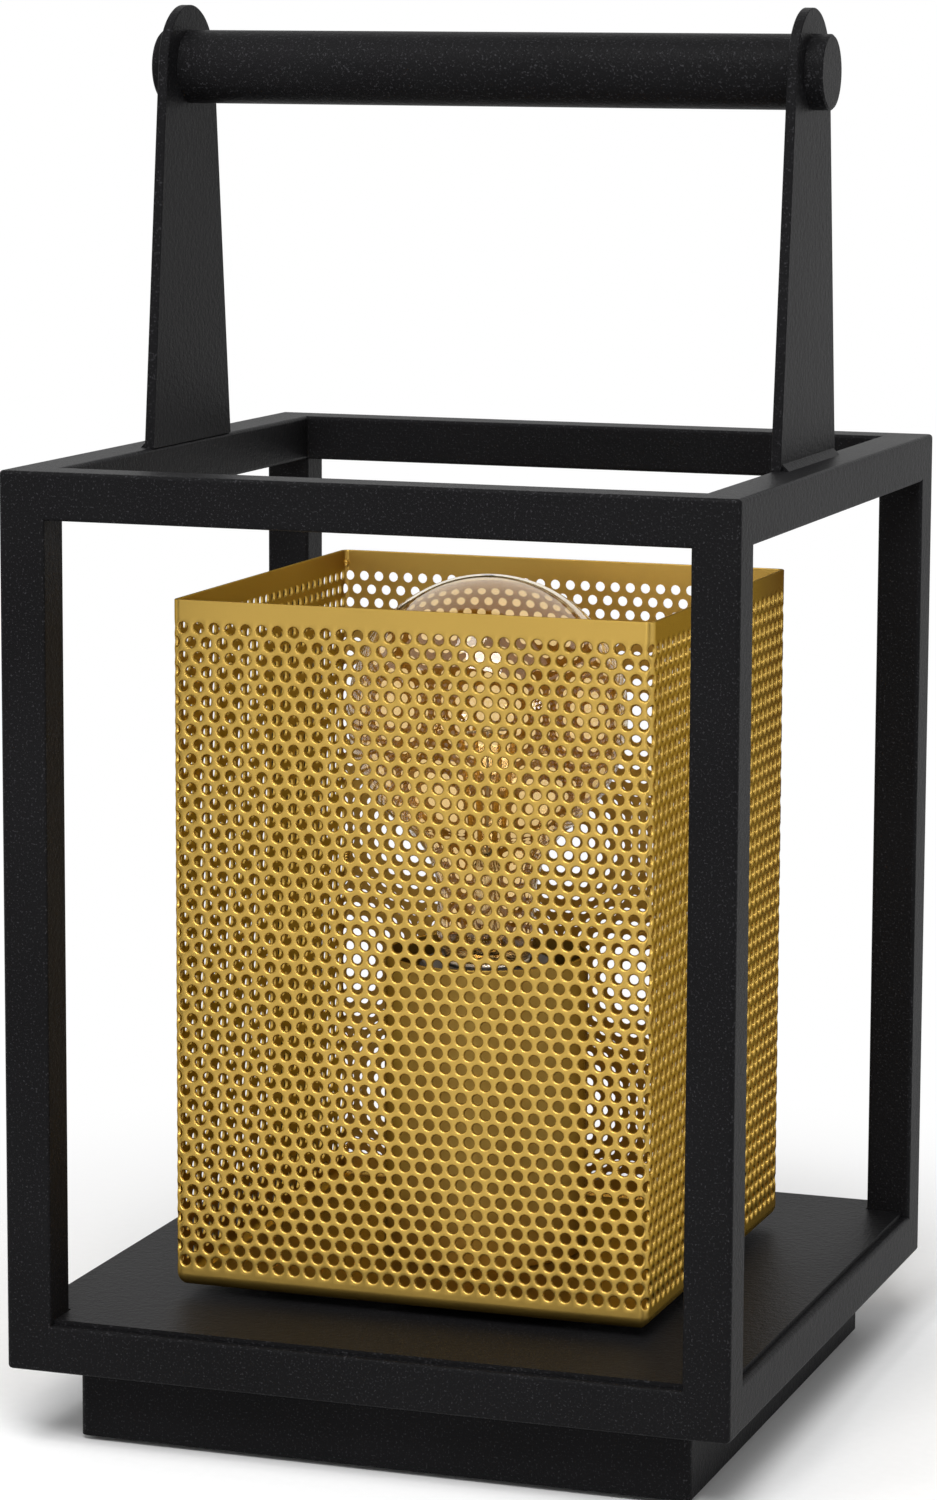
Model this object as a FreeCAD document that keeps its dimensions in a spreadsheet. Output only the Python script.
import FreeCAD, Part

import math
import os
import re

import Sketcher
from FreeCAD import Placement, Rotation, Vector

# A lantern table lamp: an open box frame of square steel tube on an inset plinth, with a carrying
# handle above it and a folded perforated brass cage inside it, round a globe bulb.
# Millimetres. X runs right along the front, Y back, Z up; the origin is on the table under the centre.

doc = FreeCAD.newDocument("lantern_lamp")

# ---------------------------------------------------------------- sizes

SIZES = (
    ("frame_width", 220.0, "frame, outside, left to right"),
    ("frame_depth", 220.0, "frame, outside, front to back"),
    ("frame_height", 264.0, "frame, outside, bottom ring to top ring"),
    ("tube_size", 14.0, "square tube, outside"),
    ("tube_wall", 1.2, "square tube, wall"),
    ("tube_edge", 1.2, "square tube, rounding of its outer edges"),
    ("tube_corner", 1.6, "frame, rounding of its four upright outer edges"),
    ("foot_height", 1.5, "rubber foot, height"),
    ("foot_radius", 8.0, "rubber foot, radius"),
    ("foot_inset", 16.0, "rubber foot, centre in from the plinth's outside"),
    ("foot_edge", 0.4, "rubber foot, chamfer"),
    ("plinth_gap", 2.0, "plinth, shadow gap between its walls and the frame's tubes"),
    ("plinth_height", 23.0, "plinth, height that shows under the frame"),
    ("plinth_wall", 1.5, "plinth, sheet thickness"),
    ("plinth_corner", 2.5, "plinth, outside radius of its upright bends"),
    ("plinth_flange", 12.0, "plinth, width of the flange welded under the deck"),
    ("tab_size", 16.0, "plinth, side of a corner tab that takes a cover screw"),
    ("tab_thickness", 2.0, "plinth, thickness of a corner tab"),
    ("cover_thickness", 1.5, "bottom cover, thickness"),
    ("cover_gap", 0.5, "bottom cover, clearance to the plinth's walls"),
    ("screw_radius", 1.5, "cover screw, thread radius"),
    ("screw_length", 6.0, "cover screw, shank length"),
    ("screw_head_radius", 2.8, "cover screw, head radius"),
    ("screw_head_height", 1.2, "cover screw, head height"),
    ("screw_clearance", 0.2, "cover screw, radial clearance in its holes"),
    ("deck_thickness", 1.5, "deck plate, thickness"),
    ("deck_inset", 2.5, "deck plate, edge in from the frame's outside"),
    ("deck_notch_gap", 0.3, "deck plate, clearance round the posts"),
    ("inlet_height", 13.0, "cable inlet, axis above the table"),
    ("inlet_radius", 3.5, "cable inlet, bore radius of the grommet"),
    ("grommet_wall", 1.5, "grommet, wall of its neck"),
    ("grommet_flange", 2.2, "grommet, how far its flanges stand out"),
    ("grommet_lip", 2.0, "grommet, thickness of a flange"),
    ("handle_rise", 113.5, "handle, axis above the top ring"),
    ("plate_thickness", 3.0, "handle plate, thickness"),
    ("plate_foot_width", 61.0, "handle plate, width at its foot"),
    ("plate_head_radius", 18.5, "handle plate, radius of its round head"),
    ("plate_edge", 0.3, "handle plate, chamfer of its cut edges"),
    ("handle_radius", 11.0, "handle tube, outside radius"),
    ("handle_wall", 1.5, "handle tube, wall"),
    ("handle_cap_thickness", 5.5, "handle end cap, thickness"),
    ("handle_cap_edge", 0.5, "handle end cap, chamfer"),
    ("handle_spigot_length", 6.0, "handle spigot, length inside the tube"),
    ("handle_spigot_gap", 0.1, "handle spigot, radial clearance in the tube"),
    ("rod_radius", 3.0, "handle tie rod, radius"),
    ("rod_bite", 4.0, "handle tie rod, length inside each end cap"),
    ("rod_clearance", 0.2, "handle tie rod, radial clearance in the plates"),
    ("weld_leg", 2.0, "fillet weld, leg"),
    ("cage_width", 147.0, "cage, outside, left to right"),
    ("cage_depth", 140.0, "cage, outside, front to back"),
    ("cage_height", 206.0, "cage, height"),
    ("cage_lift", 2.5, "cage, underside above the deck"),
    ("cage_fold", 2.5, "cage, outside radius of the upright folds"),
    ("cage_heel", 4.0, "cage, outside radius of the bottom folds"),
    ("cage_flange", 14.0, "cage, width of the flange folded in under its floor"),
    ("sheet_thickness", 1.0, "brass sheet, thickness"),
    ("floor_gap", 0.3, "cage floor, clearance to the cage's walls"),
    ("spacer_radius", 24.0, "spacer under the cage floor, radius"),
    ("cup_radius", 31.0, "holder cup, outside radius"),
    ("cup_height", 91.5, "holder cup, height"),
    ("cup_wall", 1.0, "holder cup, wall"),
    ("cup_heel", 0.8, "holder cup, outside radius at its foot"),
    ("nipple_radius", 5.0, "threaded nipple, outside radius"),
    ("nipple_bore", 3.6, "threaded nipple, bore radius"),
    ("nipple_clearance", 0.2, "threaded nipple, radial clearance in the holes it passes"),
    ("nipple_tail", 9.0, "threaded nipple, length below the deck"),
    ("nut_width", 14.0, "hexagon nut, across flats"),
    ("nut_height", 3.5, "hexagon nut, height"),
    ("washer_radius", 9.0, "washer, radius"),
    ("washer_thickness", 1.2, "washer, thickness"),
    ("socket_rise", 27.4, "lampholder, underside above the cup's floor"),
    ("socket_collar", 8.0, "lampholder, length of its threaded collar"),
    ("socket_collar_wall", 3.0, "lampholder, wall of its threaded collar"),
    ("socket_base_height", 22.0, "lampholder, height of its base"),
    ("socket_radius", 20.5, "lampholder, outside radius"),
    ("socket_wall", 2.0, "lampholder, wall"),
    ("socket_sleeve_height", 38.0, "lampholder, height of its sleeve"),
    ("carrier_thickness", 7.0, "contact carrier, thickness"),
    ("carrier_gap", 0.2, "contact carrier, radial clearance in the sleeve"),
    ("shell_wall", 0.5, "socket shell, sheet thickness"),
    ("shell_height", 24.0, "socket shell, height"),
    ("shell_gap", 0.4, "socket shell, radial clearance round the bulb's cap"),
    ("contact_width", 6.0, "centre contact, width"),
    ("contact_thickness", 0.4, "centre contact, thickness"),
    ("contact_length", 9.0, "centre contact, length of its tongue"),
    ("contact_gap", 0.3, "centre contact, gap under the bulb's tip"),
    ("contact_rise", 7.0, "centre contact, height of its tongue above the carrier"),
    ("globe_radius", 42.5, "bulb, globe radius"),
    ("globe_rise", 99.5, "bulb, globe centre above its tip"),
    ("globe_shoulder", 28.0, "bulb, radius of the hollow between neck and globe"),
    ("neck_radius", 15.0, "bulb, neck radius"),
    ("glass_wall", 0.8, "bulb, glass thickness"),
    ("neck_taper", 4.0, "bulb, length of the neck's taper over the cap, and of its skirt in the cap"),
    ("bulb_cap_radius", 13.1, "bulb, cap radius"),
    ("bulb_cap_height", 18.0, "bulb, cap height"),
    ("bulb_cap_wall", 0.4, "bulb, cap wall"),
    ("bulb_tip_radius", 4.8, "bulb, centre contact radius"),
    ("bulb_tip_height", 1.6, "bulb, centre contact height"),
    ("insulator_height", 5.4, "bulb, height of the glass insulator under the cap"),
    ("stem_height", 34.0, "bulb, height of the glass stem above the cap"),
    ("stem_radius", 4.0, "bulb, radius of the glass stem"),
    ("flare_thickness", 1.5, "bulb, thickness of the flare that closes the neck"),
    ("filament_length", 34.0, "bulb, length of a filament"),
    ("filament_radius", 0.8, "bulb, radius of a filament"),
    ("filament_circle", 9.0, "bulb, radius of the ring of filaments at the top"),
    ("filament_foot", 5.0, "bulb, radius of the ring of filaments at the bottom"),
    ("filament_count", 4.0, "bulb, filaments"),
    ("wire_radius", 0.4, "bulb, support wire radius"),
    ("block_length", 30.0, "terminal block, length"),
    ("block_width", 17.0, "terminal block, width"),
    ("block_height", 14.0, "terminal block, height"),
    ("block_offset", 45.0, "terminal block, centre behind the lamp's axis"),
    ("block_bore", 2.0, "terminal block, radius of its wire holes"),
    ("block_pitch", 8.0, "terminal block, distance between its wire holes"),
    ("earth_offset", 36.0, "earth screw, centre to the left of the lamp's axis"),
    ("earth_radius", 2.0, "earth screw, thread radius"),
    ("earth_length", 7.0, "earth screw, length below the deck"),
)

sheet = doc.addObject("Spreadsheet::Sheet", "Sizes")
for row, (alias, value, meaning) in enumerate(SIZES, start=1):
    sheet.set("A%d" % row, meaning)
    sheet.set("B%d" % row, str(value))
    sheet.setAlias("B%d" % row, alias)
doc.recompute()

# Sizes that follow from others, each written where its name stands in a text.
FOLLOWING = {
    "plinth_width": "(frame_width - 2 * tube_size - 2 * plinth_gap)",
    "plinth_depth": "(frame_depth - 2 * tube_size - 2 * plinth_gap)",
}

# Levels, each written from the sizes.
FRAME_BASE = "foot_height + plinth_height"
DECK_BASE = FRAME_BASE + " + tube_size"
DECK_TOP = DECK_BASE + " + deck_thickness"
FRAME_TOP = FRAME_BASE + " + frame_height"
HANDLE_AXIS = FRAME_TOP + " + handle_rise"
CAGE_BASE = DECK_TOP + " + cage_lift"
FLOOR_BASE = CAGE_BASE + " + sheet_thickness"
CUP_BASE = FLOOR_BASE + " + sheet_thickness"
CUP_FLOOR = CUP_BASE + " + cup_wall"
SOCKET_BASE = CUP_FLOOR + " + socket_rise"
SLEEVE_BASE = SOCKET_BASE + " + socket_base_height"
CARRIER_TOP = SLEEVE_BASE + " + carrier_thickness"
BULB_TIP = CARRIER_TOP + " + contact_rise + contact_gap"
BULB_CAP_BASE = BULB_TIP + " + bulb_tip_height + insulator_height"
BULB_CAP_TOP = BULB_CAP_BASE + " + bulb_cap_height"
GLOBE_CENTRE = BULB_TIP + " + globe_rise"

# ---------------------------------------------------------------- helpers


def bound(text):
    """Write out the sizes that follow from others and name the sheet before each size of its own.

    A size is a word with an underscore in it.
    """
    for name, meaning in FOLLOWING.items():
        text = re.sub(r"\b%s\b" % name, meaning, text)
    return re.sub(r"\b([a-z]+(?:_[a-z]+)+)\b", r"Sizes.\1", text)


def number(text):
    """What the text comes to with the sheet's present sizes."""
    value = sheet.evalExpression(bound(text))
    return float(getattr(value, "Value", value))


def bind(thing, **texts):
    """Bind each named property of the object to a text of sizes."""
    for name, text in texts.items():
        thing.setExpression(name, bound(text))
    return thing


def place(thing, x="0", y="0", z="0", turn=0.0, axis=Vector(0, 0, 1)):
    """Turn the object about the axis and bind its position to three texts of sizes."""
    thing.Placement = Placement(Vector(number(x), number(y), number(z)), Rotation(axis, turn))
    for letter, text in (("x", x), ("y", y), ("z", z)):
        if text != "0":
            thing.setExpression("Placement.Base." + letter, bound(text))
    return thing


def new_body(name):
    """Start a body of its own for one piece."""
    body = doc.addObject("PartDesign::Body", name)
    body.Label = name
    return body


def new_sketch(body, name, role="XY_Plane", lift="0"):
    """Put a sketch on one of the body's own planes, lifted along its normal."""
    sketch = body.newObject("Sketcher::SketchObject", body.Name + "_" + name)
    plane = [face for face in body.Origin.OriginFeatures if face.Role == role][0]
    sketch.AttachmentSupport = [(plane, "")]
    sketch.MapMode = "FlatFace"
    if lift != "0":
        sketch.setExpression("AttachmentOffset.Base.z", bound(lift))
    return sketch


def hold(sketch, piece, end, x, y):
    """Hold one point of the sketch at two distances from its origin."""
    for kind, axis, text in (("DistanceX", -2, x), ("DistanceY", -1, y)):
        if text == "0":
            sketch.addConstraint(Sketcher.Constraint("PointOnObject", piece, end, axis))
            continue
        index = sketch.addConstraint(Sketcher.Constraint(kind, -1, 1, piece, end, number(text)))
        sketch.setExpression("Constraints[%d]" % index, bound(text))


def draw_outline(sketch, corners):
    """Draw a closed outline of straight lines through the corners, each held by its distances."""
    points = [Vector(number(x), number(y), 0) for x, y in corners]
    first = sketch.GeometryCount
    count = len(points)
    for index, start in enumerate(points):
        sketch.addGeometry(Part.LineSegment(start, points[(index + 1) % count]), False)
    for index in range(count):
        following = first + (index + 1) % count
        sketch.addConstraint(Sketcher.Constraint("Coincident", first + index, 2, following, 1))
    for index, (x, y) in enumerate(corners):
        hold(sketch, first + index, 1, x, y)


def draw_box(sketch, left, bottom, right, top):
    """Draw an upright rectangle between two corners."""
    draw_outline(sketch, ((left, bottom), (right, bottom), (right, top), (left, top)))


def draw_centred_box(sketch, width, height):
    """Draw a rectangle about the sketch's origin."""
    half_width = "(%s) / 2" % width
    half_height = "(%s) / 2" % height
    draw_box(sketch, "-" + half_width, "-" + half_height, half_width, half_height)


def draw_circle(sketch, radius, x="0", y="0"):
    """Draw a circle with a bound radius and centre."""
    centre = Vector(number(x), number(y), 0)
    index = sketch.addGeometry(Part.Circle(centre, Vector(0, 0, 1), number(radius)), False)
    rule = sketch.addConstraint(Sketcher.Constraint("Radius", index, number(radius)))
    sketch.setExpression("Constraints[%d]" % rule, bound(radius))
    hold(sketch, index, 3, x, y)


def hold_radius(sketch, arc, text):
    """Bind an arc's radius."""
    rule = sketch.addConstraint(Sketcher.Constraint("Radius", arc, number(text)))
    sketch.setExpression("Constraints[%d]" % rule, bound(text))


def pad(body, sketch, length, symmetric=False, reverse=False):
    """Raise the sketch into the body."""
    feature = body.newObject("PartDesign::Pad", body.Name + "_pad")
    feature.Profile = sketch
    if symmetric:
        feature.SideType = "Symmetric"
    feature.Reversed = reverse
    bind(feature, Length=length)
    sketch.Visibility = False
    doc.recompute()
    return feature


def pocket(body, sketch, length=None, reverse=False):
    """Sink the sketch into the body: by a length, or both ways through all of it."""
    before = body.Shape.Volume
    feature = body.newObject("PartDesign::Pocket", body.Name + "_pocket")
    feature.Profile = sketch
    if length is None:
        feature.Type = "ThroughAll"
        feature.SideType = "Symmetric"
    else:
        feature.Reversed = reverse
        bind(feature, Length=length)
    sketch.Visibility = False
    doc.recompute()
    if body.Shape.Volume >= before:
        raise ValueError(body.Name + ": a pocket cuts nothing")
    return feature


def spin(body, sketch):
    """Turn the sketch once round the body's upright axis."""
    feature = body.newObject("PartDesign::Revolution", body.Name + "_turning")
    feature.Profile = sketch
    feature.ReferenceAxis = (sketch, ["V_Axis"])
    feature.Angle = 360.0
    sketch.Visibility = False
    doc.recompute()
    return feature


def round_edges(body, radius, chosen, kind="Fillet"):
    """Round, or chamfer, the edges of the body that the chosen test picks."""
    base = body.Tip
    names = ["Edge%d" % (i + 1) for i, edge in enumerate(base.Shape.Edges) if chosen(edge)]
    feature = body.newObject("PartDesign::" + kind, body.Name + "_" + kind.lower())
    feature.Base = (base, names)
    bind(feature, **{"Size" if kind == "Chamfer" else "Radius": radius})
    doc.recompute()
    return feature


def along(edge, axis):
    """Tell whether a straight edge runs along an axis, 0 for X, 1 for Y and 2 for Z."""
    if edge.Degenerated or not isinstance(edge.Curve, Part.Line):
        return False
    return abs(abs(edge.tangentAt(edge.FirstParameter)[axis]) - 1.0) < 1e-6


def at(edge, axis, text):
    """Tell whether the edge's middle lies at a level of an axis."""
    return abs(edge.CenterOfMass[axis] - number(text)) < 1e-4


def turned(name, profile, z="0"):
    """Make a piece turned round the lamp's axis, from a half outline of radius and height pairs."""
    body = new_body(name)
    sketch = new_sketch(body, "profile", "XZ_Plane")
    draw_outline(sketch, profile)
    spin(body, sketch)
    return place(body, z=z)


def group(name, things):
    """Join separate solids of one kind into one named piece."""
    compound = doc.addObject("Part::Compound", name)
    compound.Label = name
    compound.Links = things
    doc.recompute()
    return compound


# ---------------------------------------------------------------- frame

SIDES = (
    ("front", "frame_width", 0, "0", "-frame_depth / 2"),
    ("right", "frame_depth", 90, "frame_width / 2", "0"),
    ("back", "frame_width", 180, "0", "frame_depth / 2"),
    ("left", "frame_depth", 270, "-frame_width / 2", "0"),
)
CORNERS = (
    ("front_left", -1, -1, 0),
    ("front_right", 1, -1, 90),
    ("back_right", 1, 1, 180),
    ("back_left", -1, 1, 270),
)


def make_frame_form():
    """The whole frame as it looks once its joints are ground: a block with a window in each side.

    The tubes are cut out of this form, so that their rounded edges run into each other.
    """
    body = new_body("frame_form")
    block = new_sketch(body, "block")
    draw_centred_box(block, "frame_width", "frame_depth")
    pad(body, block, "frame_height")
    round_edges(body, "tube_corner", lambda edge: along(edge, 2))
    round_edges(body, "tube_edge", lambda edge: at(edge, 2, "0") or at(edge, 2, "frame_height"))
    openings = (
        ("top_window", "XY_Plane", "frame_width", "frame_depth", "0"),
        ("front_window", "XZ_Plane", "frame_width", "frame_height", "frame_height / 2"),
        ("side_window", "YZ_Plane", "frame_depth", "frame_height", "frame_height / 2"),
    )
    for name, role, across, up, middle in openings:
        sketch = new_sketch(body, name, role)
        half_across = "(%s / 2 - tube_size)" % across
        half_up = "(%s / 2 - tube_size)" % up
        draw_box(sketch, "-" + half_across, "%s - %s" % (middle, half_up),
                 half_across, "%s + %s" % (middle, half_up))
        pocket(body, sketch)
    half_width = number("frame_width / 2")
    half_depth = number("frame_depth / 2")
    height = number("frame_height")
    tube = number("tube_size")
    limits = ((-half_width, half_width), (-half_depth, half_depth), (0.0, height))

    def is_window_rim(edge):
        """A straight edge that lies on the frame's outside and bounds one of its windows."""
        axes = [axis for axis in range(3) if along(edge, axis)]
        if len(axes) != 1:
            return False
        middle = edge.CenterOfMass
        depths = [min(middle[axis] - limits[axis][0], limits[axis][1] - middle[axis])
                  for axis in range(3) if axis != axes[0]]
        depths.sort()
        return abs(depths[0]) < 1e-4 and abs(depths[1] - tube) < 1e-4

    round_edges(body, "tube_edge", is_window_rim)
    return place(body, z=FRAME_BASE)


def shape_to_frame(name, body, form):
    """Give a hollow tube the ground outside of the finished frame."""
    piece = doc.addObject("Part::Common", name)
    piece.Label = name
    piece.Base = body
    piece.Tool = form
    return piece


def make_rail(ring, side, form):
    """One mitred rail of a ring: its outer face on the frame's outside, its bore right through."""
    name, length, turn, x, y = side
    level = FRAME_BASE if ring == "bottom" else FRAME_TOP + " - tube_size"
    body = new_body("%s_rail_%s_stock" % (ring, name))
    plan = new_sketch(body, "plan")
    half = "%s / 2" % length
    draw_outline(plan, (
        ("-" + half, "0"), (half, "0"),
        (half + " - tube_size", "tube_size"), ("-(%s - tube_size)" % half, "tube_size")))
    pad(body, plan, "tube_size")
    inner = "tube_size" if ring == "bottom" else "0"
    round_edges(body, "tube_edge", lambda edge: (
        along(edge, 0) and at(edge, 1, "tube_size") and at(edge, 2, inner)))
    bore = new_sketch(body, "bore", "YZ_Plane")
    draw_box(bore, "tube_wall", "tube_wall", "tube_size - tube_wall", "tube_size - tube_wall")
    pocket(body, bore)
    place(body, x, y, level, turn)
    return shape_to_frame("%s_rail_%s" % (ring, name), body, form)


def make_post(corner, form):
    """One upright tube between the two rings."""
    name, right, back, turn = corner
    body = new_body("post_%s_stock" % name)
    plan = new_sketch(body, "plan")
    draw_box(plan, "0", "0", "tube_size", "tube_size")
    pad(body, plan, "frame_height - 2 * tube_size")
    round_edges(body, "tube_edge", lambda edge: (
        along(edge, 2) and at(edge, 0, "tube_size") and at(edge, 1, "tube_size")))
    bore = new_sketch(body, "bore")
    draw_box(bore, "tube_wall", "tube_wall", "tube_size - tube_wall", "tube_size - tube_wall")
    pocket(body, bore)
    x = "frame_width / 2" if right > 0 else "-frame_width / 2"
    y = "frame_depth / 2" if back > 0 else "-frame_depth / 2"
    place(body, x, y, DECK_BASE, turn)
    return shape_to_frame("post_" + name, body, form)


def make_deck():
    """The plate welded on the bottom ring, notched round the posts."""
    body = new_body("deck_plate")
    plan = new_sketch(body, "plan")
    draw_centred_box(plan, "frame_width - 2 * deck_inset", "frame_depth - 2 * deck_inset")
    pad(body, plan, "deck_thickness")
    notches = new_sketch(body, "notches")
    reach = "(tube_size + deck_notch_gap)"
    for name, right, back, turn in CORNERS:
        signs = ("" if right > 0 else "-"), ("" if back > 0 else "-")
        near = ["%s(%s / 2 - %s)" % (sign, size, reach)
                for sign, size in zip(signs, ("frame_width", "frame_depth"))]
        far = ["%s%s / 2" % (sign, size) for sign, size in zip(signs, ("frame_width", "frame_depth"))]
        draw_box(notches, near[0], near[1], far[0], far[1])
    pocket(body, notches)
    hole = new_sketch(body, "hole")
    draw_circle(hole, "nipple_radius + nipple_clearance")
    draw_circle(hole, "earth_radius + screw_clearance", "-earth_offset")
    pocket(body, hole)
    return place(body, z=DECK_BASE)


# ---------------------------------------------------------------- plinth


def tab_centres(size):
    """The distance of a corner tab's screw from the plinth's middle, along one side."""
    return "(%s / 2 - plinth_wall - tab_size / 2)" % size


def make_plinth():
    """The sheet box between table and deck: four walls, a welded flange on top, tabs below."""
    body = new_body("plinth_shell")
    depth = "plinth_height + tube_size"
    plan = new_sketch(body, "plan")
    draw_centred_box(plan, "plinth_width", "plinth_depth")
    pad(body, plan, depth)
    round_edges(body, "plinth_corner", lambda edge: along(edge, 2))
    hollow = new_sketch(body, "hollow")
    draw_centred_box(hollow, "plinth_width - 2 * plinth_wall", "plinth_depth - 2 * plinth_wall")
    pocket(body, hollow, depth + " - plinth_wall", reverse=True)
    top = new_sketch(body, "top_opening")
    draw_centred_box(top, "plinth_width - 2 * plinth_flange", "plinth_depth - 2 * plinth_flange")
    pocket(body, top)
    tabs = new_sketch(body, "tabs", lift="cover_thickness")
    for name, right, back, turn in CORNERS:
        across = "(plinth_width / 2 - plinth_wall / 2)"
        along_y = "(plinth_depth / 2 - plinth_wall / 2)"
        x_sign = "" if right > 0 else "-"
        y_sign = "" if back > 0 else "-"
        draw_box(tabs, x_sign + across, y_sign + along_y,
                 "%s(%s - tab_size)" % (x_sign, across), "%s(%s - tab_size)" % (y_sign, along_y))
    pad(body, tabs, "tab_thickness")
    holes = new_sketch(body, "tab_holes")
    for name, right, back, turn in CORNERS:
        x = ("" if right > 0 else "-") + tab_centres("plinth_width")
        y = ("" if back > 0 else "-") + tab_centres("plinth_depth")
        draw_circle(holes, "screw_radius + screw_clearance", x, y)
    pocket(body, holes, "cover_thickness + 2 * tab_thickness", reverse=True)
    inlet = new_sketch(body, "inlet", "XZ_Plane")
    draw_circle(inlet, "inlet_radius + grommet_wall", "0", "inlet_height - foot_height")
    pocket(body, inlet, "plinth_depth")
    return place(body, z="foot_height")


def make_bottom_cover():
    """The plate that closes the plinth, flush with its lower edge."""
    body = new_body("bottom_cover")
    plan = new_sketch(body, "plan")
    margin = "2 * (plinth_wall + cover_gap)"
    draw_centred_box(plan, "plinth_width - " + margin, "plinth_depth - " + margin)
    pad(body, plan, "cover_thickness")
    round_edges(body, "plinth_corner - plinth_wall", lambda edge: along(edge, 2))
    holes = new_sketch(body, "holes")
    for name, right, back, turn in CORNERS:
        x = ("" if right > 0 else "-") + tab_centres("plinth_width")
        y = ("" if back > 0 else "-") + tab_centres("plinth_depth")
        draw_circle(holes, "screw_radius + screw_clearance", x, y)
    pocket(body, holes)
    return place(body, z="foot_height")


def make_cover_screws():
    """Four pan head screws, heads under the cover, shanks through the tabs."""
    screws = []
    for name, right, back, turn in CORNERS:
        screw = turned("cover_screw_" + name, (
            ("0", "0"), ("0.8 * screw_head_radius", "0"), ("screw_head_radius", "0.5 * screw_head_height"),
            ("screw_head_radius", "screw_head_height"), ("screw_radius", "screw_head_height"),
            ("screw_radius", "screw_head_height + screw_length"), ("0", "screw_head_height + screw_length")))
        x = ("" if right > 0 else "-") + tab_centres("plinth_width")
        y = ("" if back > 0 else "-") + tab_centres("plinth_depth")
        screws.append(place(screw, x, y, "foot_height - screw_head_height"))
    return group("cover_screws", screws)


def make_feet():
    """Four rubber pads under the bottom cover."""
    feet = []
    for name, right, back, turn in CORNERS:
        foot = turned("foot_" + name, (
            ("0", "0"), ("foot_radius - foot_edge", "0"), ("foot_radius", "foot_edge"),
            ("foot_radius", "foot_height"), ("0", "foot_height")))
        inset = "(foot_inset + tab_size / 2)"
        x = "%s(plinth_width / 2 - %s)" % ("" if right > 0 else "-", inset)
        y = "%s(plinth_depth / 2 - %s)" % ("" if back > 0 else "-", inset)
        feet.append(place(foot, x, y))
    return group("rubber_feet", feet)


def make_grommet():
    """The rubber bush that lines the cable inlet in the plinth's back wall."""
    neck = "inlet_radius + grommet_wall"
    flange = neck + " + grommet_flange"
    lip = "grommet_lip"
    body = turned("cable_grommet", (
        ("inlet_radius", "0"), (flange, "0"), (flange, lip), (neck, lip),
        (neck, lip + " + plinth_wall"), (flange, lip + " + plinth_wall"),
        (flange, "2 * grommet_lip + plinth_wall"), ("inlet_radius", "2 * grommet_lip + plinth_wall")))
    round_edges(body, "grommet_lip / 4", lambda edge: abs(
        edge.BoundBox.XLength - 2 * number(flange)) < 1e-3 and edge.Closed, "Chamfer")
    return place(body, "0", "plinth_depth / 2 - plinth_wall - grommet_lip", "inlet_height",
                 -90, Vector(1, 0, 0))


def make_terminal_block():
    """The mains terminal block, under the deck behind the lamp's axis."""
    body = new_body("terminal_block")
    plan = new_sketch(body, "plan")
    draw_centred_box(plan, "block_length", "block_width")
    pad(body, plan, "block_height")
    round_edges(body, "block_bore / 2", lambda edge: along(edge, 2))
    bores = new_sketch(body, "bores", "XZ_Plane")
    for shift in ("-block_pitch", "0", "block_pitch"):
        draw_circle(bores, "block_bore", shift, "block_height / 2")
    pocket(body, bores)
    return place(body, "0", "block_offset", DECK_BASE + " - block_height")


def make_earth_screw():
    """The earth screw through the deck, with its head below."""
    head = "screw_head_radius + earth_radius - screw_radius"
    body = turned("earth_screw", (
        ("0", "0"), (head, "0"), (head, "screw_head_height"), ("earth_radius", "screw_head_height"),
        ("earth_radius", "screw_head_height + earth_length"), ("0", "screw_head_height + earth_length")))
    return place(body, "-earth_offset", "0", DECK_TOP + " - screw_head_height - earth_length")


# ---------------------------------------------------------------- handle


def make_handle_plate(name, sign):
    """A flat plate on a top rail: straight sides that run tangent into its round head."""
    body = new_body(name)
    sketch = new_sketch(body, "face", "YZ_Plane")
    half = number("plate_foot_width / 2")
    rise = number("handle_rise")
    radius = number("plate_head_radius")
    lean = math.atan2(rise, half) - math.acos(radius / math.hypot(half, rise))
    touch = math.pi / 2 - lean - math.pi / 2
    reach = Vector(radius * math.cos(touch), rise + radius * math.sin(touch), 0)
    sketch.addGeometry(Part.LineSegment(Vector(-half, 0, 0), Vector(half, 0, 0)), False)
    sketch.addGeometry(Part.LineSegment(Vector(half, 0, 0), reach), False)
    head = Part.Circle(Vector(0, rise, 0), Vector(0, 0, 1), radius)
    sketch.addGeometry(Part.ArcOfCircle(head, touch, math.pi - touch), False)
    sketch.addGeometry(Part.LineSegment(Vector(-reach.x, reach.y, 0), Vector(-half, 0, 0)), False)
    for rule in (("Coincident", 0, 2, 1, 1), ("Tangent", 1, 2, 2, 1), ("Tangent", 2, 2, 3, 1),
                 ("Coincident", 3, 2, 0, 1)):
        sketch.addConstraint(Sketcher.Constraint(*rule))
    hold(sketch, 0, 1, "-plate_foot_width / 2", "0")
    hold(sketch, 0, 2, "plate_foot_width / 2", "0")
    hold(sketch, 2, 3, "0", "handle_rise")
    hold_radius(sketch, 2, "plate_head_radius")
    pad(body, sketch, "plate_thickness")
    round_edges(body, "plate_edge", lambda edge: not along(edge, 0) and not at(edge, 2, "0"),
                "Chamfer")
    hole = new_sketch(body, "hole", "YZ_Plane")
    draw_circle(hole, "rod_radius + rod_clearance", "0", "handle_rise")
    pocket(body, hole)
    inner = "(frame_width / 2 - tube_size)"
    x = inner if sign > 0 else "-(%s + plate_thickness)" % inner
    return place(body, x, "0", FRAME_TOP)


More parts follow.
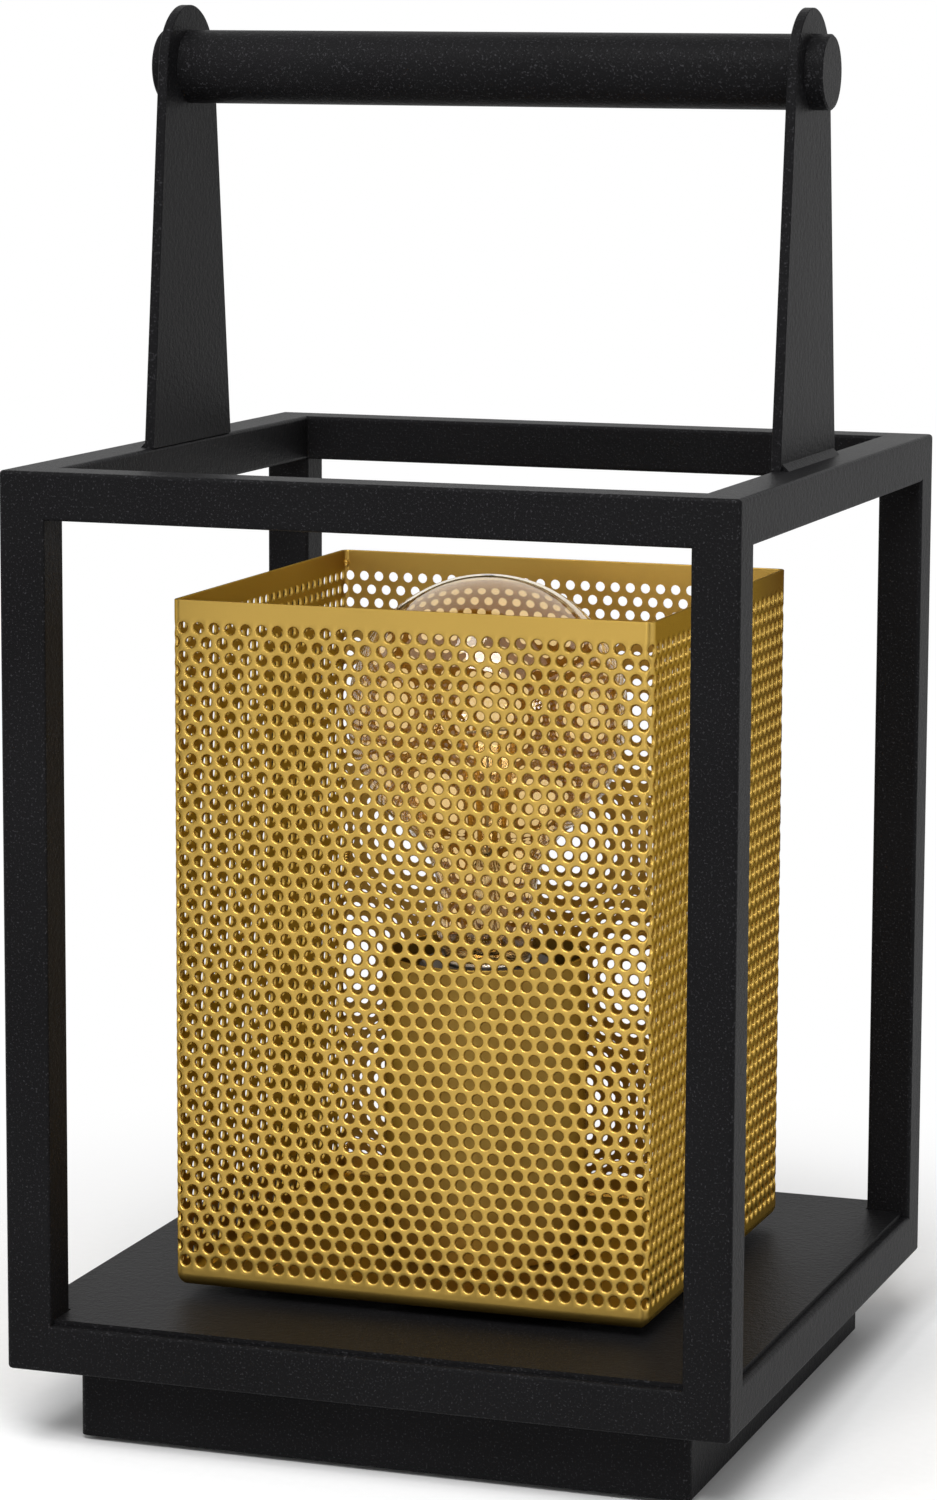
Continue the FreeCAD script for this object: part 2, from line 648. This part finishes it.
def make_plate_weld(name, sign):
    """The fillet weld along the outside of a handle plate's foot."""
    body = new_body(name)
    sketch = new_sketch(body, "section", "XZ_Plane")
    draw_outline(sketch, (("0", "0"), ("%sweld_leg" % ("" if sign > 0 else "-"), "0"), ("0", "weld_leg")))
    pad(body, sketch, "plate_foot_width - 2 * weld_leg", symmetric=True)
    outer = "(frame_width / 2 - tube_size + plate_thickness)"
    return place(body, outer if sign > 0 else "-" + outer, "0", FRAME_TOP)


def make_handle_tube():
    """The round grip between the plates, a tube on a spigot at each end."""
    body = new_body("handle_tube")
    sketch = new_sketch(body, "section", "YZ_Plane")
    draw_circle(sketch, "handle_radius")
    draw_circle(sketch, "handle_radius - handle_wall")
    pad(body, sketch, "frame_width - 2 * tube_size", symmetric=True)
    return place(body, z=HANDLE_AXIS)


def make_handle_spigot(name, sign):
    """The plug that centres an end of the grip on the tie rod."""
    body = new_body(name)
    sketch = new_sketch(body, "section", "YZ_Plane")
    draw_circle(sketch, "handle_radius - handle_wall - handle_spigot_gap")
    draw_circle(sketch, "rod_radius")
    pad(body, sketch, "handle_spigot_length", reverse=sign > 0)
    inner = "(frame_width / 2 - tube_size)"
    return place(body, inner if sign > 0 else "-" + inner, "0", HANDLE_AXIS)


def make_handle_cap(name, sign):
    """The round end cap outside a plate, screwed on the end of the tie rod."""
    body = new_body(name)
    sketch = new_sketch(body, "face", "YZ_Plane")
    draw_circle(sketch, "handle_radius")
    pad(body, sketch, "handle_cap_thickness", reverse=sign < 0)
    far = "handle_cap_thickness" if sign > 0 else "-handle_cap_thickness"
    round_edges(body, "handle_cap_edge", lambda edge: at(edge, 0, far), "Chamfer")
    hole = new_sketch(body, "hole", "YZ_Plane")
    draw_circle(hole, "rod_radius")
    pocket(body, hole, "rod_bite", reverse=sign > 0)
    outer = "(frame_width / 2 - tube_size + plate_thickness)"
    return place(body, outer if sign > 0 else "-" + outer, "0", HANDLE_AXIS)


def make_tie_rod():
    """The threaded rod that pulls both caps on to the plates."""
    body = new_body("handle_tie_rod")
    sketch = new_sketch(body, "section", "YZ_Plane")
    draw_circle(sketch, "rod_radius")
    pad(body, sketch, "frame_width - 2 * tube_size + 2 * plate_thickness + 2 * rod_bite",
        symmetric=True)
    return place(body, z=HANDLE_AXIS)


# ---------------------------------------------------------------- cage


def make_cage_wrap():
    """The cage: one sheet folded round four corners, its lower edge folded in to a flange."""
    body = new_body("cage_wrap")
    plan = new_sketch(body, "plan")
    draw_centred_box(plan, "cage_width", "cage_depth")
    pad(body, plan, "cage_height")
    round_edges(body, "cage_fold", lambda edge: along(edge, 2))
    round_edges(body, "cage_heel", lambda edge: at(edge, 2, "0"))
    hollow = body.newObject("PartDesign::Thickness", "cage_wrap_sheet")
    solid = body.Group[-2]
    top = ["Face%d" % (i + 1) for i, face in enumerate(solid.Shape.Faces)
           if abs(face.CenterOfMass.z - number("cage_height")) < 1e-4]
    hollow.Base = (solid, top)
    hollow.Reversed = True
    hollow.Join = "Intersection"
    bind(hollow, Value="sheet_thickness")
    doc.recompute()
    opening = new_sketch(body, "opening")
    draw_centred_box(opening, "cage_width - 2 * cage_flange", "cage_depth - 2 * cage_flange")
    pocket(body, opening, "2 * sheet_thickness", reverse=True)
    return place(body, z=CAGE_BASE)


def make_cage_floor():
    """The plate that lies on the cage's flange and is clamped under the cup."""
    body = new_body("cage_floor")
    plan = new_sketch(body, "plan")
    margin = "2 * (cage_heel + floor_gap)"
    draw_centred_box(plan, "cage_width - " + margin, "cage_depth - " + margin)
    draw_circle(plan, "nipple_radius + nipple_clearance")
    pad(body, plan, "sheet_thickness")
    return place(body, z=FLOOR_BASE)


def make_cage_spacer():
    """The disc that carries the cage's floor clear of the deck."""
    body = new_body("cage_spacer")
    plan = new_sketch(body, "plan")
    draw_circle(plan, "spacer_radius")
    draw_circle(plan, "nipple_radius + nipple_clearance")
    pad(body, plan, "cage_lift + sheet_thickness")
    return place(body, z=DECK_TOP)


# ---------------------------------------------------------------- lampholder


def make_cup():
    """The spun cup that hides the lampholder."""
    body = turned("holder_cup", (
        ("nipple_radius + nipple_clearance", "0"), ("cup_radius", "0"), ("cup_radius", "cup_height"),
        ("cup_radius - cup_wall", "cup_height"), ("cup_radius - cup_wall", "cup_wall"),
        ("nipple_radius + nipple_clearance", "cup_wall")))
    round_edges(body, "cup_heel", lambda edge: at(edge, 2, "0") and abs(
        edge.BoundBox.XLength - 2 * number("cup_radius")) < 1e-3)
    round_edges(body, "cup_wall / 4", lambda edge: at(edge, 2, "cup_height"), "Chamfer")
    return place(body, z=CUP_BASE)


def make_nipple():
    """The threaded tube that clamps deck, cage and cup together and carries the lampholder."""
    body = new_body("threaded_nipple")
    section = new_sketch(body, "section")
    draw_circle(section, "nipple_radius")
    draw_circle(section, "nipple_bore")
    pad(body, section, "(%s + socket_collar) - (%s - nipple_tail)" % (SOCKET_BASE, DECK_BASE))
    return place(body, z=DECK_BASE + " - nipple_tail")


def make_nut(name, z):
    """A thin hexagon nut on the nipple."""
    body = new_body(name)
    sketch = new_sketch(body, "hexagon")
    flat = "nut_width / 2"
    corner = "nut_width / 2 / cos(30)"
    half = "nut_width / 4 / cos(30)"
    draw_outline(sketch, (
        (corner, "0"), (half, flat), ("-" + half, flat),
        ("-" + corner, "0"), ("-" + half, "-" + flat), (half, "-" + flat)))
    draw_circle(sketch, "nipple_radius")
    pad(body, sketch, "nut_height")
    return place(body, z=z)


def make_washer(name, z):
    """A plain washer on the nipple."""
    body = new_body(name)
    sketch = new_sketch(body, "ring")
    draw_circle(sketch, "washer_radius")
    draw_circle(sketch, "nipple_radius + nipple_clearance")
    pad(body, sketch, "washer_thickness")
    return place(body, z=z)


def make_socket_base():
    """The lampholder's lower half: a threaded collar that widens to the sleeve."""
    collar = "nipple_radius + socket_collar_wall"
    inner = "socket_radius - socket_wall"
    return turned("lampholder_base", (
        ("nipple_radius", "0"), (collar, "0"), (collar, "socket_collar / 2"),
        ("socket_radius", "socket_collar"), ("socket_radius", "socket_base_height"),
        (inner, "socket_base_height"), (inner, "socket_collar + socket_wall"),
        (collar, "socket_collar"), ("nipple_radius", "socket_collar")), SOCKET_BASE)


def make_socket_sleeve():
    """The lampholder's upper half, with an inward lip at its mouth."""
    inner = "socket_radius - socket_wall"
    mouth = "bulb_cap_radius + 2 * shell_gap + shell_wall"
    return turned("lampholder_sleeve", (
        (inner, "0"), ("socket_radius", "0"), ("socket_radius", "socket_sleeve_height - socket_wall / 2"),
        ("socket_radius - socket_wall / 2", "socket_sleeve_height"), (mouth, "socket_sleeve_height"),
        (mouth, "socket_sleeve_height - socket_wall"), (inner, "socket_sleeve_height - socket_wall")),
        SLEEVE_BASE)


def make_contact_carrier():
    """The insulating disc that holds the contacts, on the base's rim inside the sleeve."""
    edge = "socket_radius - socket_wall - carrier_gap"
    return turned("contact_carrier", (
        ("0", "0"), (edge, "0"), (edge, "carrier_thickness"), ("0", "carrier_thickness")), SLEEVE_BASE)


def make_socket_shell():
    """The threaded metal shell that the bulb's cap screws into."""
    inner = "bulb_cap_radius + shell_gap"
    outer = inner + " + shell_wall"
    return turned("socket_shell", (
        (inner, "0"), (outer, "0"), (outer, "shell_height"), (inner, "shell_height")), CARRIER_TOP)


def make_centre_contact():
    """The folded spring tongue under the bulb's tip."""
    body = new_body("centre_contact")
    sketch = new_sketch(body, "side", "XZ_Plane")
    half = "contact_length / 2"
    inner = "(contact_length / 2 - contact_thickness)"
    draw_outline(sketch, (
        ("-" + half, "0"), (half, "0"), (half, "contact_thickness"), ("-" + inner, "contact_thickness"),
        ("-" + inner, "contact_rise - contact_thickness"), (half, "contact_rise - contact_thickness"),
        (half, "contact_rise"), ("-" + half, "contact_rise")))
    pad(body, sketch, "contact_width", symmetric=True)
    return place(body, z=CARRIER_TOP)


# ---------------------------------------------------------------- bulb


def make_globe():
    """The bulb's glass: a globe that runs by a hollow shoulder into the neck and down into the cap."""
    body = new_body("bulb_glass")
    sketch = new_sketch(body, "profile", "XZ_Plane")
    radius = number("globe_radius")
    shoulder = number("globe_shoulder")
    neck = number("neck_radius")
    wall = number("glass_wall")
    centre = number("globe_rise")
    cap_top = "(bulb_tip_height + insulator_height + bulb_cap_height)"
    drop = math.sqrt((radius + shoulder) ** 2 - (neck + shoulder) ** 2)
    bend = Vector(neck + shoulder, centre - drop, 0)
    touch = math.atan2(drop, -(neck + shoulder))
    up = Vector(0, 0, 1)
    for inset, less in ((0.0, ""), (wall, " - glass_wall")):
        skirt = "bulb_cap_radius - bulb_cap_wall" + less
        points = ((skirt, cap_top + " - neck_taper"), (skirt, cap_top),
                  ("neck_radius" + less, cap_top + " + neck_taper"))
        corners = [Vector(number(x), number(y), 0) for x, y in points]
        first = sketch.GeometryCount
        sketch.addGeometry(Part.LineSegment(corners[0], corners[1]), False)
        sketch.addGeometry(Part.LineSegment(corners[1], corners[2]), False)
        sketch.addGeometry(Part.LineSegment(corners[2], Vector(neck - inset, bend.y, 0)), False)
        hollow = Part.Circle(bend, up, shoulder + inset)
        globe = Part.Circle(Vector(0, centre, 0), up, radius - inset)
        sketch.addGeometry(Part.ArcOfCircle(hollow, touch, math.pi), False)
        sketch.addGeometry(Part.ArcOfCircle(globe, touch - math.pi, math.pi / 2), False)
        for rule in (("Coincident", first, 2, first + 1, 1), ("Coincident", first + 1, 2, first + 2, 1),
                     ("Vertical", first + 2), ("Tangent", first + 2, 2, first + 3, 2),
                     ("Tangent", first + 3, 1, first + 4, 1), ("PointOnObject", first + 4, 2, -2)):
            sketch.addConstraint(Sketcher.Constraint(*rule))
        hold(sketch, first, 1, *points[0])
        hold(sketch, first + 1, 1, *points[1])
        hold(sketch, first + 2, 1, *points[2])
    top = Vector(0, centre + radius, 0)
    foot = number(cap_top + " - neck_taper")
    outer = number("bulb_cap_radius - bulb_cap_wall")
    sketch.addGeometry(Part.LineSegment(Vector(outer, foot, 0), Vector(outer - wall, foot, 0)), False)
    sketch.addGeometry(Part.LineSegment(top, top - Vector(0, wall, 0)), False)
    for rule in (("Coincident", 10, 1, 0, 1), ("Coincident", 10, 2, 5, 1),
                 ("Coincident", 11, 1, 4, 2), ("Coincident", 11, 2, 9, 2),
                 ("Coincident", 8, 3, 3, 3), ("Coincident", 9, 3, 4, 3)):
        sketch.addConstraint(Sketcher.Constraint(*rule))
    hold(sketch, 4, 3, "0", "globe_rise")
    hold_radius(sketch, 3, "globe_shoulder")
    hold_radius(sketch, 4, "globe_radius")
    spin(body, sketch)
    return place(body, z=BULB_TIP)


def make_bulb_cap():
    """The bulb's screw cap: a thin shell crimped round the insulator below, open to the neck."""
    inner = "bulb_cap_radius - bulb_cap_wall"
    waist = "bulb_tip_radius + insulator_height / 2"
    return turned("bulb_cap", (
        (waist, "0"), ("bulb_cap_radius - 2 * bulb_cap_wall", "0"),
        ("bulb_cap_radius", "3 * bulb_cap_wall"), ("bulb_cap_radius", "bulb_cap_height"),
        (inner, "bulb_cap_height"), (inner, "4 * bulb_cap_wall"),
        (inner + " - bulb_cap_wall", "bulb_cap_wall * 2"), (waist, "bulb_cap_wall * 2")), BULB_CAP_BASE)


def make_insulator():
    """The glass cone between cap and tip contact."""
    waist = "bulb_tip_radius + insulator_height / 2"
    return turned("bulb_insulator", (
        ("0", "0"), ("bulb_tip_radius", "0"), (waist, "insulator_height"),
        (waist, "insulator_height + 2 * bulb_cap_wall"), ("0", "insulator_height + 2 * bulb_cap_wall")),
        BULB_TIP + " + bulb_tip_height")


def make_tip_contact():
    """The rounded contact at the bulb's foot."""
    return turned("bulb_tip_contact", (
        ("0", "0"), ("bulb_tip_radius / 2", "0"), ("bulb_tip_radius", "bulb_tip_height / 2"),
        ("bulb_tip_radius", "bulb_tip_height"), ("0", "bulb_tip_height")), BULB_TIP)


def make_stem():
    """The glass stem that stands on the flare inside the neck."""
    flare = "bulb_cap_radius - bulb_cap_wall - glass_wall"
    return turned("bulb_stem", (
        ("0", "0"), (flare, "0"), (flare, "flare_thickness"),
        ("stem_radius + flare_thickness", "2 * flare_thickness"),
        ("stem_radius", "4 * flare_thickness"), ("stem_radius", "stem_height - stem_radius"),
        ("stem_radius / 2", "stem_height"), ("0", "stem_height")),
        BULB_CAP_TOP + " - flare_thickness")


def filament_ends():
    """The lower and upper end of each filament, about the bulb's axis, above the stem."""
    ends = []
    count = int(number("filament_count"))
    foot = number(BULB_CAP_TOP + " - flare_thickness + stem_height + filament_radius * 4")
    for index in range(count):
        angle = 2 * math.pi * (index + 0.5) / count
        out = Vector(math.cos(angle), math.sin(angle), 0)
        low = out * number("filament_foot") + Vector(0, 0, foot)
        rise = math.sqrt(number("filament_length") ** 2
                         - number("filament_circle - filament_foot") ** 2)
        high = out * number("filament_circle") + Vector(0, 0, foot + rise)
        ends.append((low, high))
    return ends


def make_filaments():
    """The straight filaments, spread like the ribs of a basket."""
    radius = number("filament_radius")
    rods = []
    for low, high in filament_ends():
        rods.append(Part.makeCylinder(radius, (high - low).Length, low, high - low))
    feature = doc.addObject("Part::Feature", "bulb_filaments")
    feature.Label = "bulb_filaments"
    feature.Shape = Part.makeCompound(rods)
    return feature


def make_support_wires(stem):
    """The wires from the stem to the filaments' feet, and the spokes that join their tops."""
    wire = number("wire_radius")
    inside = number("stem_radius") / 4
    base = number(BULB_CAP_TOP + " - flare_thickness + stem_height") - wire
    pieces = []
    for low, high in filament_ends():
        out = Vector(low.x, low.y, 0)
        out.normalize()
        start = out * inside + Vector(0, 0, base)
        reach = low - start
        pieces.append(Part.makeCylinder(wire, reach.Length, start, reach))
    hub = Vector(0, 0, filament_ends()[0][1].z)
    for low, high in filament_ends():
        pieces.append(Part.makeCylinder(wire, (high - hub).Length, hub, high - hub))
    centre = Part.makeCylinder(wire, hub.z - base, Vector(0, 0, base), Vector(0, 0, 1))
    whole = centre.fuse(pieces)
    rods = [Part.makeCylinder(number("filament_radius"), (high - low).Length, low, high - low)
            for low, high in filament_ends()]
    whole = whole.cut([stem.Shape] + rods)
    feature = doc.addObject("Part::Feature", "bulb_support_wires")
    feature.Label = "bulb_support_wires"
    feature.Shape = whole
    return feature


# ---------------------------------------------------------------- the lamp


def make_lamp():
    """Build every piece and return the pieces to keep."""
    form = make_frame_form()
    pieces = [make_rail(ring, side, form) for ring in ("bottom", "top") for side in SIDES]
    pieces += [make_post(corner, form) for corner in CORNERS]
    pieces += [make_deck(), make_plinth(), make_bottom_cover(), make_cover_screws(), make_feet(),
               make_grommet(), make_terminal_block(), make_earth_screw()]
    for name, sign in (("left", -1), ("right", 1)):
        pieces += [make_handle_plate("handle_plate_" + name, sign),
                   make_plate_weld("plate_weld_" + name, sign),
                   make_handle_spigot("handle_spigot_" + name, sign),
                   make_handle_cap("handle_cap_" + name, sign)]
    pieces += [make_handle_tube(), make_tie_rod()]
    pieces += [make_cage_wrap(), make_cage_floor(), make_cage_spacer(), make_cup(), make_nipple(),
               make_nut("nipple_nut_lower", DECK_BASE + " - washer_thickness - nut_height"),
               make_washer("nipple_washer", DECK_BASE + " - washer_thickness"),
               make_nut("nipple_nut_upper", CUP_FLOOR),
               make_socket_base(), make_socket_sleeve(), make_contact_carrier(),
               make_socket_shell(), make_centre_contact()]
    stem = make_stem()
    pieces += [make_globe(), make_bulb_cap(), make_insulator(), make_tip_contact(), stem,
               make_filaments(), make_support_wires(stem)]
    doc.recompute()
    return pieces


lamp_pieces = make_lamp()

for thing in doc.Objects:
    if "Invalid" in thing.State or "Error" in thing.State:
        raise ValueError("%s: %s" % (thing.Name, thing.State))
os.makedirs("parts", exist_ok=True)
for piece in lamp_pieces:
    if piece.Shape.isNull() or not piece.Shape.isValid() or not piece.Shape.Solids:
        raise ValueError(piece.Label + ": no valid solid")
for piece in lamp_pieces:
    piece.Shape.exportStep(os.path.join("parts", piece.Label + ".step"))
    print("%-22s solids %d volume %10.1f" % (piece.Label, len(piece.Shape.Solids), piece.Shape.Volume))
